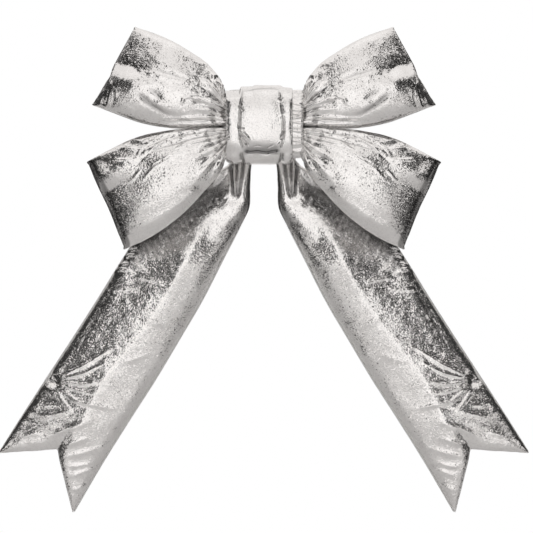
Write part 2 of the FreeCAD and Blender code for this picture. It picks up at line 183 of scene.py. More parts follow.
def mesh_object(name, vertices, faces, uvs):
    """A smooth mesh object whose faces look outward, with metre-scaled UVs per vertex."""
    mesh = bpy.data.meshes.new(name)
    mesh.from_pydata([tuple(v) for v in vertices], [], [tuple(f) for f in faces])
    layer = mesh.uv_layers.new(name="cloth")
    corners = np.empty(len(mesh.loops), int)
    mesh.loops.foreach_get("vertex_index", corners)
    layer.data.foreach_set("uv", np.asarray(uvs, float)[corners].ravel())
    shell = bmesh.new()
    shell.from_mesh(mesh)
    bmesh.ops.recalc_face_normals(shell, faces=shell.faces)
    shell.to_mesh(mesh)
    shell.free()
    mesh.polygons.foreach_set("use_smooth", [True] * len(mesh.polygons))
    mesh.update()
    piece = bpy.data.objects.new(name, mesh)
    bpy.context.scene.collection.objects.link(piece)
    return piece


def sleeve(name, front, back, uv, u, v):
    """A closed padded sleeve from two grids of points that share their edges' layout. Each
    vertex stores its u and v, and 0 if it is on the front grid or 1 if on the back one."""
    rows, columns = front.shape[:2]
    count = rows * columns
    index = np.arange(count).reshape(rows, columns)
    a, b = index[:-1, :-1], index[1:, :-1]
    c, d = index[1:, 1:], index[:-1, 1:]
    rim = np.concatenate([index[:-1, 0], index[-1, :-1], index[:0:-1, -1], index[0, :0:-1]])
    following = np.roll(rim, -1)
    faces = [
        np.stack([a, b, c, d], -1).reshape(-1, 4),
        np.stack([a, d, c, b], -1).reshape(-1, 4) + count,
        np.stack([following, rim, rim + count, following + count], -1),
    ]
    vertices = np.concatenate([front.reshape(-1, 3), back.reshape(-1, 3)])
    uvs = np.concatenate([uv.reshape(-1, 2), uv.reshape(-1, 2) + [0.37, 0.21]])
    piece = mesh_object(name, vertices, np.concatenate(faces), uvs)
    flat = np.stack([u.ravel(), v.ravel(), np.zeros(count)], -1)
    place = np.concatenate([flat, flat + [0, 0, 1]])
    layer = piece.data.attributes.new("place", "FLOAT_VECTOR", "POINT")
    layer.data.foreach_set("vector", place.astype(np.float32).ravel())
    return piece


def read_vectors(layer, name):
    """Three numbers per row of a mesh layer, as an array."""
    values = np.empty(len(layer) * 3, np.float32)
    layer.foreach_get(name, values)
    return values.reshape(-1, 3).astype(float)


def points_of(piece):
    """The piece's vertex positions."""
    return read_vectors(piece.data.vertices, "co")


def set_points(piece, points):
    """Move the piece's vertices."""
    piece.data.vertices.foreach_set("co", np.asarray(points, float).ravel())
    piece.data.update()


def read_place(piece):
    """The u, v and sheet that each vertex of a sleeve stores."""
    return read_vectors(piece.data.attributes["place"].data, "vector").T


def emboss(piece, height):
    """Move the piece's surface out along its normals by a height per vertex."""
    normals = read_vectors(piece.data.vertex_normals, "vector")
    set_points(piece, points_of(piece) + normals * height[:, None])


def write_painted_shade(piece, depth):
    """Store each vertex's painted shade, which darkens the foil's base colour: 0 in the open, 1
    at its darkest, as in a sharp crease.
    """
    layer = piece.data.attributes.new("painted_shade", "FLOAT", "POINT")
    layer.data.foreach_set("value", np.clip(depth, 0, 1).astype(np.float32))


def mirrored(piece, name):
    """A copy of a piece for the other side of the bow."""
    mesh = piece.data.copy()
    mesh.name = name
    twin = bpy.data.objects.new(name, mesh)
    bpy.context.scene.collection.objects.link(twin)
    set_points(twin, points_of(piece) * [-1, 1, 1])
    mesh.flip_normals()
    return twin


def subdivide(piece):
    """Round the piece with one level of subdivision, and keep the result."""
    modifier = piece.modifiers.new("round", "SUBSURF")
    modifier.levels = 1
    modifier.render_levels = 1
    graph = bpy.context.evaluated_depsgraph_get()
    mesh = bpy.data.meshes.new_from_object(piece.evaluated_get(graph))
    piece.modifiers.clear()
    old = piece.data
    piece.data = mesh
    bpy.data.meshes.remove(old)
    mesh.name = piece.name


def inflate(piece, hold, extra_cloth):
    """Cloth simulation of a sewn sleeve: hold is 0 to 1 per vertex, and extra_cloth is how
    much larger the cloth is cut than its drawn shape."""
    start = points_of(piece)
    group = piece.vertex_groups.new(name="held")
    for index, weight in enumerate(hold):
        if weight > 0:
            group.add([index], float(weight), "REPLACE")
    modifier = piece.modifiers.new("cloth", "CLOTH")
    cloth = modifier.settings
    for setting, value in CLOTH.items():
        setattr(cloth, setting, value)
    cloth.shrink_min = -extra_cloth
    cloth.vertex_group_mass = "held"
    cloth.effector_weights.gravity = 0
    modifier.collision_settings.use_collision = False
    modifier.point_cache.frame_start = 1
    modifier.point_cache.frame_end = SIM_FRAMES
    scene = bpy.context.scene
    for number in range(1, SIM_FRAMES + 1):
        scene.frame_set(number)
    graph = bpy.context.evaluated_depsgraph_get()
    result = piece.evaluated_get(graph).to_mesh()
    moved = read_vectors(result.vertices, "co") - start
    piece.evaluated_get(graph).to_mesh_clear()
    piece.modifiers.clear()
    scene.frame_set(1)
    length = np.maximum(np.linalg.norm(moved, axis=1, keepdims=True), 1e-9)
    set_points(piece, start + moved / length * SIM_CAP * np.tanh(length / SIM_CAP))


# ---- materials ----

# Sockets of a colour Mix node, which has the same names several times over.
MIX_SHARE = 0
MIX_FIRST = 6
MIX_SECOND = 7
MIX_RESULT = 2


def node(tree, kind, **values):
    """Add a shader node and set its inputs or properties by name."""
    made = tree.nodes.new("ShaderNode" + kind)
    for name, value in values.items():
        if name in made.inputs:
            made.inputs[name].default_value = value
        else:
            setattr(made, name, value)
    return made


def tune(made, values):
    """Set a shader node's inputs by name or number."""
    for name, value in values.items():
        made.inputs[name].default_value = value


def link(tree, start, output, end, entry):
    """Join two shader nodes."""
    tree.links.new(start.outputs[output], end.inputs[entry])


def texture(tree, place, kind, **values):
    """A procedural texture that runs solid through the object, in metres."""
    made = node(tree, "Tex" + kind, **values)
    link(tree, place, "Object", made, "Vector")
    return made


def ramp(tree, stops):
    """A colour ramp from positions to grey levels or colours."""
    made = node(tree, "ValToRGB")
    elements = made.color_ramp.elements
    while len(elements) < len(stops):
        elements.new(0.5)
    for element, (position, colour) in zip(elements, stops):
        element.position = position
        if not hasattr(colour, "__len__"):
            colour = (colour, colour, colour)
        element.color = (*colour, 1)
    return made


def tint(tree, shader, pattern, stops):
    """Colour the shader by a texture, through a ramp."""
    tone = ramp(tree, stops)
    link(tree, pattern, "Fac", tone, "Fac")
    link(tree, tone, "Color", shader, "Base Color")


def vary_roughness(tree, shader, pattern, smoothest, roughest):
    """Let a texture vary how sharp the reflections are."""
    dull = node(tree, "MapRange")
    tune(dull, {"To Min": smoothest, "To Max": roughest})
    link(tree, pattern, "Fac", dull, "Value")
    link(tree, dull, "Result", shader, "Roughness")


def new_material(name):
    """An empty node material, with its shader and its texture coordinates."""
    material = bpy.data.materials.new(name)
    material.use_nodes = True
    tree = material.node_tree
    return material, tree, tree.nodes["Principled BSDF"], node(tree, "TexCoord")


def stack_relief(tree, shader, layers):
    """Bump nodes one on another, each from a texture output with a strength and a height in
    metres. The last one is returned."""
    last = None
    for pattern, output, strength, distance in layers:
        relief = node(tree, "Bump", Strength=strength, Distance=distance)
        link(tree, pattern, output, relief, "Height")
        if last is not None:
            link(tree, last, "Normal", relief, "Normal")
        last = relief
    link(tree, last, "Normal", shader, "Normal")
    return last


def glitter(tree, place, relief, shader, most):
    """Tilt every tiny facet of the foil its own way: few of them a lot, and none by more
    than most allows."""
    facets = texture(tree, place, "Voronoi", Scale=620.0)
    chance = node(tree, "TexWhiteNoise")
    link(tree, facets, "Color", chance, "Vector")
    rare = node(tree, "Math", operation="POWER")
    tune(rare, {1: 1.5})
    link(tree, chance, "Value", rare, 0)
    size = node(tree, "Math", operation="MULTIPLY")
    tune(size, {1: most})
    link(tree, rare, "Value", size, 0)
    lean = node(tree, "VectorMath", operation="SUBTRACT")
    tune(lean, {1: (0.5, 0.5, 0.5)})
    link(tree, facets, "Color", lean, 0)
    tilt = node(tree, "VectorMath", operation="SCALE")
    link(tree, lean, "Vector", tilt, 0)
    link(tree, size, "Value", tilt, "Scale")
    leaning = node(tree, "VectorMath", operation="ADD")
    link(tree, relief, "Normal", leaning, 0)
    link(tree, tilt, "Vector", leaning, 1)
    facing = node(tree, "VectorMath", operation="NORMALIZE")
    link(tree, leaning, "Vector", facing, 0)
    link(tree, facing, "Vector", shader, "Normal")


def lame_material(name, reads_painted_shade, sparkle=0.36):
    """Foil-faced knit: a mirror-like film with creases at three sizes and ribbed across, with
    sparkle as the most that its facets tilt. Where asked, its base colour is painted darker by
    the shade the piece stores: painted shade in creases, under overlapping parts and where bands
    fold back."""
    material, tree, shader, place = new_material(name)
    tune(shader, {"Metallic": 1.0})

    grain = texture(tree, place, "Noise", Scale=700.0, Detail=1.0)
    pebble = texture(tree, place, "Voronoi", Scale=500.0)
    creases = texture(
        tree, place, "Noise", Scale=120.0, Detail=3.0, Roughness=0.55, Distortion=0.8
    )
    folds = texture(tree, place, "Noise", Scale=34.0, Detail=2.0, Distortion=1.2)
    along = node(tree, "Mapping", Scale=(1.0, 0.16, 1.0))
    link(tree, place, "UV", along, "Vector")
    ribs = node(tree, "TexNoise", Scale=520.0, Detail=2.0)
    link(tree, along, "Vector", ribs, "Vector")

    tone = ramp(tree, [(0.3, (0.9, 0.888, 0.88)), (0.7, (0.97, 0.962, 0.955))])
    link(tree, folds, "Fac", tone, "Fac")
    dots = ramp(tree, [(0.34, 0.7), (0.52, 1.0)])
    link(tree, grain, "Fac", dots, "Fac")
    film = node(tree, "Mix", data_type="RGBA", blend_type="MULTIPLY")
    tune(film, {MIX_SHARE: 0.4})
    link(tree, tone, "Color", film, MIX_FIRST)
    link(tree, dots, "Color", film, MIX_SECOND)
    # Painted shade: the base colour is mixed towards dark grey by the painted shade that the
    # piece stores.
    if reads_painted_shade:
        painted_shade = node(tree, "Attribute", attribute_name="painted_shade")
        painted_shade_mix = node(tree, "Mix", data_type="RGBA")
        tune(painted_shade_mix, {MIX_SECOND: (0.22, 0.217, 0.217, 1)})
        link(tree, painted_shade, "Fac", painted_shade_mix, MIX_SHARE)
        link(tree, film, MIX_RESULT, painted_shade_mix, MIX_FIRST)
        film = painted_shade_mix
    link(tree, film, MIX_RESULT, shader, "Base Color")
    vary_roughness(tree, shader, creases, 0.1, 0.22)

    layers = (
        (folds, "Fac", 1.0, 0.0003),
        (creases, "Fac", 1.0, 0.00008),
        (ribs, "Fac", 1.0, 0.0001),
        (pebble, "Distance", 1.0, 0.0001),
        (grain, "Fac", 1.0, 0.0002),
    )
    glitter(tree, place, stack_relief(tree, shader, layers), shader, sparkle)
    return material


def wadding_material():
    """White polyester wadding: soft tangled fibre."""
    material, tree, shader, place = new_material("polyester_wadding")
    fibre = texture(
        tree, place, "Noise", Scale=420.0, Detail=5.0, Roughness=0.7, Distortion=2.0
    )
    tint(tree, shader, fibre, [(0.3, (0.82, 0.82, 0.8)), (0.7, (0.96, 0.96, 0.95))])
    stack_relief(tree, shader, ((fibre, "Fac", 0.8, 0.0008),))
    tune(shader, {"Roughness": 0.95, "Sheen Weight": 0.4})
    return material


def thread_material():
    """Pale grey sewing thread with its twist."""
    material, tree, shader, place = new_material("sewing_thread")
    twist = texture(
        tree, place, "Wave", Scale=1100.0, Distortion=1.0, Detail=1.0,
        bands_direction="DIAGONAL",
    )
    tint(tree, shader, twist, [(0.2, (0.42, 0.42, 0.43)), (0.8, (0.74, 0.74, 0.75))])
    stack_relief(tree, shader, ((twist, "Fac", 0.7, 0.0003),))
    tune(shader, {"Roughness": 0.55, "Sheen Weight": 0.3})
    return material


def nylon_material():
    """Milky moulded nylon with fine ribs and rubbed patches."""
    material, tree, shader, place = new_material("nylon_tie_plastic")
    rub = texture(tree, place, "Noise", Scale=160.0, Detail=4.0)
    ribs = texture(tree, place, "Wave", Scale=380.0, bands_direction="Z")
    tint(tree, shader, rub, [(0.35, (0.80, 0.80, 0.77)), (0.7, (0.91, 0.91, 0.89))])
    stack_relief(tree, shader, ((ribs, "Fac", 0.5, 0.0002), (rub, "Fac", 0.2, 0.0002)))
    tune(shader, {"Roughness": 0.4, "Subsurface Weight": 0.1})
    return material


def steel_material(name, colour, drawn):
    """Drawn steel wire: fine lengthwise scratches, with drawn as how strong they are."""
    material, tree, shader, place = new_material(name)
    tune(shader, {"Metallic": 1.0})
    scratch = texture(tree, place, "Noise", Scale=900.0, Detail=3.0)
    smear = texture(tree, place, "Noise", Scale=120.0, Detail=3.0)
    tint(tree, shader, smear, [(0.3, [level * 0.75 for level in colour]), (0.7, colour)])
    vary_roughness(tree, shader, scratch, 0.22, 0.42)
    stack_relief(tree, shader, ((scratch, "Fac", drawn, 0.0001),))
    return material


def dress(piece, material):
    """Give a piece one material."""
    piece.data.materials.clear()
    piece.data.materials.append(material)


LAME = lame_material("silver_lame_cloth", True)
TIGHT_LAME = lame_material("silver_lame_drawn_tight", True, sparkle=0.14)
PLAIN_LAME = lame_material("silver_lame_strip", False)
WADDING = wadding_material()


# ---- loops ----

# How deep a fold is, in each part of the bow, where the painted shade in it is at its darkest.
LOOP_FOLD_FULL_PAINTED_SHADE = 2.6 * MM
TAIL_FOLD_FULL_PAINTED_SHADE = 3.0 * MM
KNOT_FOLD_FULL_PAINTED_SHADE = 3.2 * MM

# Thickness of a loop's padded band, and its size in millimetres.
BAND = 11 * MM
LOOP_LENGTH = 185.0
BAND_WIDTH = 118.0
LOOP_STRETCH = LOOP_LENGTH / BAND_WIDTH

# Half depths of a loop's middle layer seen from above, in millimetres from its neck.
LOOP_PLAN = [
    (0, 17), (22, 18.5), (48, 23.5), (74, 28.5), (98, 31.5), (120, 31), (140, 27.5),
    (158, 21.5), (173, 14), (182, 6.5), (185, 0),
]


def pinch(v, edge=0.13):
    """Thickness of a padded sleeve across its width, 0 at its sewn edges and 1 inside."""
    side = np.clip(np.minimum(v, 1 - v) / edge, 0, 1)
    return np.sqrt(1 - (1 - side) ** 2)


def fan_folds(seed, count, height, reach):
    """Pleats that fan out of a neck: places and sizes vary, the seed fixes them."""
    rng = np.random.default_rng(seed)
    folds = []
    for number in range(count):
        at = (number + 0.5) / count + rng.uniform(-0.3, 0.3) / count
        end = at + rng.uniform(-0.05, 0.05)
        far = reach * rng.uniform(0.55, 1.0)
        points = [(0.0, at), (far * 0.5, (at + end) / 2 + rng.uniform(-0.02, 0.02)), (far, end)]
        size = height * rng.uniform(0.5, 1.0)
        folds.append((points, 0.32 / count, size, rng.uniform(-0.5, 0.5), 0.0, 0.6))
    return folds


class Loop:
    """One loop of the bow, drawn on the right-hand side. outer and inner are its edges in
    the bow's plane, crest is where across the band it stands out most, full is where its
    front corner starts and stops being fuller and by how much, and turned is how much
    painted shade darkens the strip where the band folds back at its fold line."""

    def __init__(self, level, outer, inner, crest, full, fold_line_painted_shade, folds, seed):
        self.level = level
        self.full = full
        self.fold_line_painted_shade = fold_line_painted_shade
        self.outer = path(np.array(outer) * MM)
        self.inner = path(np.array(inner) * MM)
        front = [(x, -depth) for x, depth in LOOP_PLAN]
        back = [(x, depth) for x, depth in LOOP_PLAN[-2::-1]]
        self.plan = path(front + back)
        self.crest = crest
        self.folds = folds
        self.back_folds = fan_folds(seed + 5, count=8, height=4.0, reach=0.7)
        self.inside_folds = fan_folds(seed + 6, count=6, height=2.0, reach=0.5)
        self.waves = Waves(seed)
        self.fine = Waves(seed + 1)

    def place(self, rows, columns):
        """The grid: q runs round the loop from neck to neck by its front, and v across the
        band from the loop's outer edge to its inner edge."""
        return np.meshgrid(np.linspace(0, 1, rows), np.linspace(0, 1, columns), indexing="ij")

    def along(self, q):
        """Share of the loop's reach at a place round it: 0 at the neck, 1 at the fold."""
        return self.plan(q)[..., 0] / LOOP_LENGTH

    def middle(self, q, v):
        """Mid-surface of the padded band, crowned across its width."""
        s = self.along(q)
        low, high, gain = self.full
        fuller = 1 + gain * smooth(v, low, high) * np.clip((s - 0.62) / 0.38, 0, 1) ** 2
        depth = self.plan(q)[..., 1] * MM * fuller
        set_back = 1 - 0.030 * pinch(v) * smooth(s, 0.6, 1.0)
        edge_a = self.outer(s * set_back)
        edge_b = self.inner(s * set_back)
        flat = edge_a + (edge_b - edge_a) * v[..., None]
        side = np.where(v < self.crest, v / self.crest, (1 - v) / (1 - self.crest))
        crown = 1 - 0.42 * (1 - side) ** 2 * smooth(s, 0.05, 0.5)
        return np.stack([flat[..., 0], KNOT_Y + depth * crown, flat[..., 1]], -1)

    def build(self, name, rows, columns, thick=BAND):
        """The sleeve as a mesh."""
        q, v = self.place(rows, columns)
        s = self.along(q)
        middle = self.middle(q, v)
        normals = grid_normals(middle)
        if normals[rows // 4, columns // 2, 1] > 0:
            normals = -normals
        body = thick * (0.16 + 0.84 * pinch(v)) * (0.55 + 0.45 * smooth(s, 0, 0.3))
        soft = 0.6 * MM * self.waves.at(v * BAND_WIDTH, s * LOOP_LENGTH, 90)
        outside = middle + normals * (body / 2 + soft)[..., None]
        inside = middle - normals * (body / 2 - soft)[..., None]
        lengths = np.stack([q * 0.40, v * 0.118], -1)
        return sleeve(name, outside, inside, lengths, q, v)

    def crease(self, piece):
        """Fold and wrinkle the sleeve's surface after it has been filled, and store its painted
        shade.
        """
        q, v, sheet = read_place(piece)
        s = self.along(q)
        outside = 1 - smooth(sheet, 0.2, 0.8)
        front = 1 - smooth(q, 0.47, 0.53)
        height = fold_all(s, v, self.folds, LOOP_STRETCH) * front * outside
        height += fold_all(s, v, self.back_folds, LOOP_STRETCH) * (1 - front) * outside
        height += fold_all(s, v, self.inside_folds, LOOP_STRETCH) * (1 - outside)
        # Painted shade: the strip where the band folds back at its fold line, and the valleys of
        # the folds, get a darker base colour.
        end_strip_painted_shade = self.fold_line_painted_shade * smooth(s, 0.952, 0.964) * front * outside
        write_painted_shade(piece, end_strip_painted_shade - height / LOOP_FOLD_FULL_PAINTED_SHADE)
        across, along = v * BAND_WIDTH, s * LOOP_LENGTH
        near = 1 - smooth(s, 0.05, 0.55)
        height += 0.45 * MM * near * self.fine.at(across, along * 0.35, 11)
        height += 0.10 * MM * self.fine.folded(across, along, 30)
        emboss(piece, height)


# A loop's folds: points as shares of its reach and of its width, and then what fold() takes.
UPPER_FOLDS = [
    # soft ridges that run from the fold line towards the knot
    ([(0.8, 0.3), (0.66, 0.3), (0.44, 0.32)], 0.035, 0.6, 0.5, 0.5, 0.5),
    ([(0.88, 0.5), (0.7, 0.45), (0.42, 0.38)], 0.035, 0.8, 0.6, 0.5, 0.5),
    ([(0.78, 0.41), (0.66, 0.375), (0.45, 0.345)], 0.022, -0.8, 0, 0.4, 0.5),
    # the hollow crease under the belly
    ([(0.8, 0.68), (0.7, 0.74), (0.56, 0.82), (0.46, 0.84)], 0.03, -1.9, 0, 0.3, 0.5),
    ([(0.74, 0.6), (0.66, 0.64), (0.56, 0.7)], 0.022, -0.9, 0, 0.4, 0.5),
    # the gathered lump over the neck and its cross folds
    ([(0.06, 0.2), (0.22, 0.12), (0.37, 0.04)], 0.07, 4.5, 0.4, 0, 0.4),
    ([(0.08, 0.36), (0.25, 0.27), (0.44, 0.22)], 0.055, 3, 0.5, 0, 0.4),
    ([(0.24, 0.02), (0.27, 0.12), (0.24, 0.24)], 0.02, 1.6, 0, 0.2, 0.4),
    ([(0.32, 0.02), (0.35, 0.09), (0.34, 0.2)], 0.022, 1.4, 0, 0.2, 0.4),
    # the fan of pleats
    ([(0, 0.46), (0.2, 0.44), (0.37, 0.5)], 0.03, 1.9, 0.6),
    ([(0, 0.55), (0.22, 0.53), (0.48, 0.57)], 0.026, 2.2, -0.6),
    ([(0, 0.67), (0.28, 0.65), (0.44, 0.71)], 0.03, 1.6, 0.6),
    ([(0, 0.77), (0.3, 0.79), (0.6, 0.9)], 0.026, 1.9, 0.5),
    ([(0, 0.9), (0.35, 0.92), (0.7, 0.97)], 0.022, 1.5, 0.4),
    # sharp valleys between the pleats
    ([(0, 0.3), (0.18, 0.24), (0.3, 0.17)], 0.016, -2, 0, 0, 0.5),
    ([(0, 0.42), (0.2, 0.37), (0.44, 0.36)], 0.016, -2.2, 0, 0, 0.5),
    ([(0, 0.51), (0.16, 0.485), (0.3, 0.53)], 0.01, -1.6, 0, 0, 0.5),
    ([(0, 0.61), (0.24, 0.59), (0.4, 0.66)], 0.009, -1.5, 0, 0, 0.5),
    ([(0, 0.72), (0.24, 0.73), (0.36, 0.77)], 0.009, -1.1, 0, 0, 0.5),
    ([(0, 0.84), (0.32, 0.86), (0.52, 0.92)], 0.008, -1.3, 0, 0, 0.5),
    # chevrons where the pleats end
    ([(0.36, 0.51), (0.42, 0.57), (0.4, 0.66)], 0.016, 1.6, 0, 0.3, 0.3),
    ([(0.42, 0.52), (0.48, 0.6), (0.47, 0.7)], 0.014, 1.4, 0, 0.3, 0.3),
    ([(0.33, 0.58), (0.4, 0.6), (0.46, 0.55)], 0.012, -1.2, 0, 0.3, 0.3),
    # ripples round the lower outer corner
    ([(0.985, 0.64), (0.935, 0.8), (0.92, 1)], 0.016, 1.2, 0.4, 0.3, 0.2),
    ([(0.995, 0.76), (0.972, 0.87), (0.955, 1)], 0.011, 1, 0.4, 0.3, 0.2),
    ([(0.962, 0.7), (0.935, 0.85), (0.925, 1)], 0.008, -1.3, 0, 0.3, 0.3),
    ([(0.94, 0.7), (0.9, 0.84), (0.885, 0.98)], 0.009, -1.3, 0, 0.4, 0.4),
]

LOWER_FOLDS = [
    # long creases from the neck along the upper part
    ([(0, 0.92), (0.3, 0.93), (0.6, 0.93), (0.8, 0.98)], 0.022, 1.5, 0.5),
    ([(0, 0.82), (0.3, 0.84), (0.57, 0.83), (0.8, 0.72)], 0.024, 1.4, 0.5),
    ([(0, 0.71), (0.3, 0.72), (0.5, 0.75)], 0.026, 1.5, -0.5),
    ([(0, 0.59), (0.3, 0.63), (0.55, 0.66), (0.72, 0.62)], 0.024, 1.1, 0.5),
    ([(0, 0.48), (0.2, 0.47), (0.42, 0.49)], 0.032, 1.8, 0.6),
    # sharp valleys between them
    ([(0, 0.87), (0.3, 0.885), (0.56, 0.87)], 0.009, -1.3, 0, 0, 0.6),
    ([(0, 0.77), (0.3, 0.785), (0.6, 0.78), (0.8, 0.685)], 0.009, -1.4, 0, 0, 0.5),
    ([(0.06, 0.66), (0.3, 0.69), (0.46, 0.72)], 0.009, -1, 0, 0.2, 0.6),
    ([(0, 0.54), (0.2, 0.55), (0.36, 0.57)], 0.012, -1.5, 0, 0, 0.6),
    ([(0, 0.41), (0.16, 0.4), (0.32, 0.37)], 0.016, -2, 0, 0, 0.4),
    ([(0, 0.25), (0.12, 0.24), (0.26, 0.18)], 0.014, -1.6, 0, 0, 0.4),
    # fine zigzag crinkles over the upper half
    ([(0.42, 0.93), (0.5, 0.86), (0.6, 0.8), (0.66, 0.72)], 0.014, 1.3, 0.4, 0.3, 0.4),
    ([(0.48, 0.97), (0.56, 0.9), (0.66, 0.85), (0.74, 0.76)], 0.014, 1.4, -0.4, 0.3, 0.4),
    ([(0.34, 0.8), (0.42, 0.73), (0.5, 0.7), (0.6, 0.6)], 0.013, 1.2, 0.4, 0.3, 0.4),
    ([(0.46, 0.66), (0.54, 0.62), (0.64, 0.6), (0.75, 0.52)], 0.014, 0.9, 0.4, 0.3, 0.4),
    ([(0.7, 0.66), (0.78, 0.6), (0.88, 0.58)], 0.014, 0.8, 0.4, 0.3, 0.4),
    # bulging folds beside the knot
    ([(0, 0.34), (0.15, 0.33), (0.32, 0.27), (0.45, 0.22)], 0.06, 3.8, 0.5),
    ([(0, 0.18), (0.15, 0.17), (0.36, 0.1)], 0.05, 2.6, 0.3),
    # crumples near the upper edge
    ([(0.56, 0.86), (0.64, 0.91), (0.72, 1)], 0.018, 1.5, 0, 0.4, 0.3),
    ([(0.62, 0.8), (0.7, 0.86), (0.79, 0.96)], 0.02, 1.6, 0.3, 0.4, 0.3),
    ([(0.7, 0.76), (0.76, 0.79), (0.87, 0.88)], 0.016, 1.2, 0.3, 0.4, 0.3),
    # the soft ridge over the lower edge
    ([(0.3, 0.08), (0.6, 0.12), (0.95, 0.13)], 0.05, 1, 0.4, 0.2, 0.2),
]

UPPER = Loop(
    "upper",
    outer=[(22, 22), (38, 29), (50, 38), (58, 58), (71, 75), (97, 94), (130, 112), (168, 126)],
    inner=[(22, 4), (40, 0), (60, -2), (95, -4), (130, -3), (162, 3), (190, 13), (223, 25)],
    crest=0.66,
    full=(0.44, 0.64, 0.9),
    fold_line_painted_shade=0.0,
    folds=UPPER_FOLDS,
    seed=11,
)

LOWER = Loop(
    "lower",
    outer=[(22, -26), (40, -31), (50, -44), (58, -62), (78, -87), (111, -120), (150, -148),
           (182, -163)],
    inner=[(22, -7), (40, -6), (60, -5), (95, -6.5), (130, -10), (165, -18), (198, -33),
           (230, -50)],
    crest=0.36,
    full=(0.60, 0.80, 0.9),
    fold_line_painted_shade=0.75,
    folds=LOWER_FOLDS,
    seed=23,
)


def make_both_sides(part, right, inside):
    """Finish a part's right-hand cover and wadding, and make the left-hand ones."""
    for side, sign in SIDES.items():
        body = f"{side}_{part}"
        cover = right if side == "right" else mirrored(right, f"{body}_sleeve")
        filling = inside if side == "right" else mirrored(inside, f"{body}_pad")
        dress(cover, LAME)
        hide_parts(f"{body}_cover")
        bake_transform(cover)
        dress(filling, WADDING)
        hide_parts(f"{body}_wadding")
        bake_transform(filling)


def make_loop(loop):
    """Both sides' covers and wadding for one level of loops."""
    rows = 150
    columns = 56
    right = loop.build(f"right_{loop.level}_loop_sleeve", rows, columns)
    q, v = loop.place(rows, columns)
    seam = 1 - smooth(np.minimum(v, 1 - v), 0, 0.06)
    hold = np.clip(1 - smooth(loop.along(q), 0.02, 0.22) + 0.35 * seam, 0, 1)
    inflate(right, np.tile(hold.ravel(), 2), extra_cloth=0.008)
    subdivide(right)
    loop.crease(right)
    inside = loop.build(f"right_{loop.level}_loop_pad", 60, 24, thick=BAND * 0.3)
    make_both_sides(f"{loop.level}_loop", right, inside)


# ---- tails ----

TAIL_Y = -10 * MM
TAIL_LENGTH = 560 * MM
TAIL_WIDTH = 120 * MM

# The tack stitch's dimple, and the line of the lower loop's edge over the tail, under which
# a shadow is painted, in millimetres in the bow's plane.
TACK = (276, -334)
TACK_DEPTH = 5.0 * MM
TACK_RADIUS = 9
LOOP_EDGE_START = (25, -45)
LOOP_EDGE_STEP = (158, -114)
LOOP_EDGE_LENGTH = 195

# Folds of the right tail, as points in the bow's plane in millimetres.
TAIL_FOLDS = [
    # creases that fan out of the tack stitch
    ([(268, -331), (232, -313), (184, -284)], 2.8, 1.2, -0.4, 0.1, 0.6),
    ([(266, -333), (234, -325), (194, -304)], 2, 1, -0.4, 0.1, 0.6),
    ([(266, -336), (240, -340), (200, -334)], 2.4, 1.2, -0.4, 0.1, 0.6),
    ([(265, -340), (237, -350), (198, -353)], 2.2, 1, -0.4, 0.1, 0.6),
    ([(266, -344), (245, -361), (212, -368), (182, -374)], 2.6, 1.2, 0.4, 0.1, 0.6),
    ([(272, -347), (262, -362), (244, -386)], 2.2, 1, 0.4, 0.1, 0.6),
    ([(284, -326), (288, -318), (292, -308)], 2, 1.2, 0, 0.1, 0.5),
    # wrinkles above the swallow cut
    ([(284, -411), (258, -399), (214, -384)], 4.4, 1.5, -0.5, 0.3, 0.6),
    ([(268, -420), (252, -417), (226, -409)], 3, 1.3, -0.4, 0.3, 0.5),
    ([(264, -436), (236, -430), (196, -418)], 3.6, 1, -0.5, 0.3, 0.6),
    ([(259, -446), (244, -446), (222, -441)], 2.4, 1.1, 0.4, 0.3, 0.5),
    ([(257, -463), (238, -456), (208, -447)], 3.4, 1, -0.5, 0.3, 0.6),
    ([(254, -478), (243, -476), (230, -470)], 2.4, 0.8, 0.4, 0.3, 0.5),
    ([(302, -386), (276, -380), (240, -372)], 4.2, 1.2, -0.5, 0.3, 0.6),
    ([(300, -362), (284, -366), (262, -366)], 3.4, 1, 0.5, 0.3, 0.6),
    ([(322, -410), (306, -404), (288, -402)], 3, 0.9, 0.4, 0.3, 0.6),
    # the long fold beside the outer edge and the ripples above it
    ([(246, -298), (228, -264), (212, -234), (190, -196)], 4.6, -1.5, 0.5, 0.25, 0.3),
    ([(199, -193), (188, -188), (170, -190)], 2.2, 1.3, 0, 0.1, 0.5),
    ([(193, -184), (182, -181), (172, -182)], 2, 1.2, 0.3, 0.1, 0.5),
    ([(186, -174), (175, -170), (160, -173)], 2.4, 1.4, -0.3, 0.1, 0.5),
    ([(180, -165), (170, -163), (160, -164)], 1.8, 1.2, 0, 0.1, 0.5),
    ([(176, -172), (164, -184), (146, -197)], 3.4, 1.2, 0.4, 0.2, 0.5),
    ([(170, -197), (150, -201), (124, -208)], 3.2, 1, 0.4, 0.2, 0.5),
    ([(203, -216), (186, -214), (160, -219)], 3, 0.9, 0.4, 0.2, 0.5),
    # faint folds on the inner half
    ([(163, -246), (143, -258), (118, -264)], 4, 0.6, 0.3, 0.4, 0.5),
    ([(193, -312), (170, -306), (142, -296)], 4, 0.6, 0.3, 0.4, 0.5),
    ([(216, -335), (200, -341), (180, -343)], 3.6, 0.5, 0.3, 0.4, 0.5),
    # pleats under the knot
    ([(25, -30), (28, -62), (35, -98)], 1.8, -2.8, 0, 0, 0.2),
    ([(30, -30), (32, -62), (35, -88)], 3, 2, 0, 0, 0.4),
    ([(35, -30), (36, -62), (36, -99)], 1.5, -2.8, 0, 0, 0.2),
    ([(39.5, -30), (39, -66), (37.5, -94)], 1.8, 2.4, 0, 0, 0.3),
    ([(45, -30), (43, -64), (39, -98)], 2.2, -3.2, 0, 0, 0.2),
    ([(52, -34), (58, -64), (68, -84)], 5, 2.2, 0.3, 0, 0.5),
]

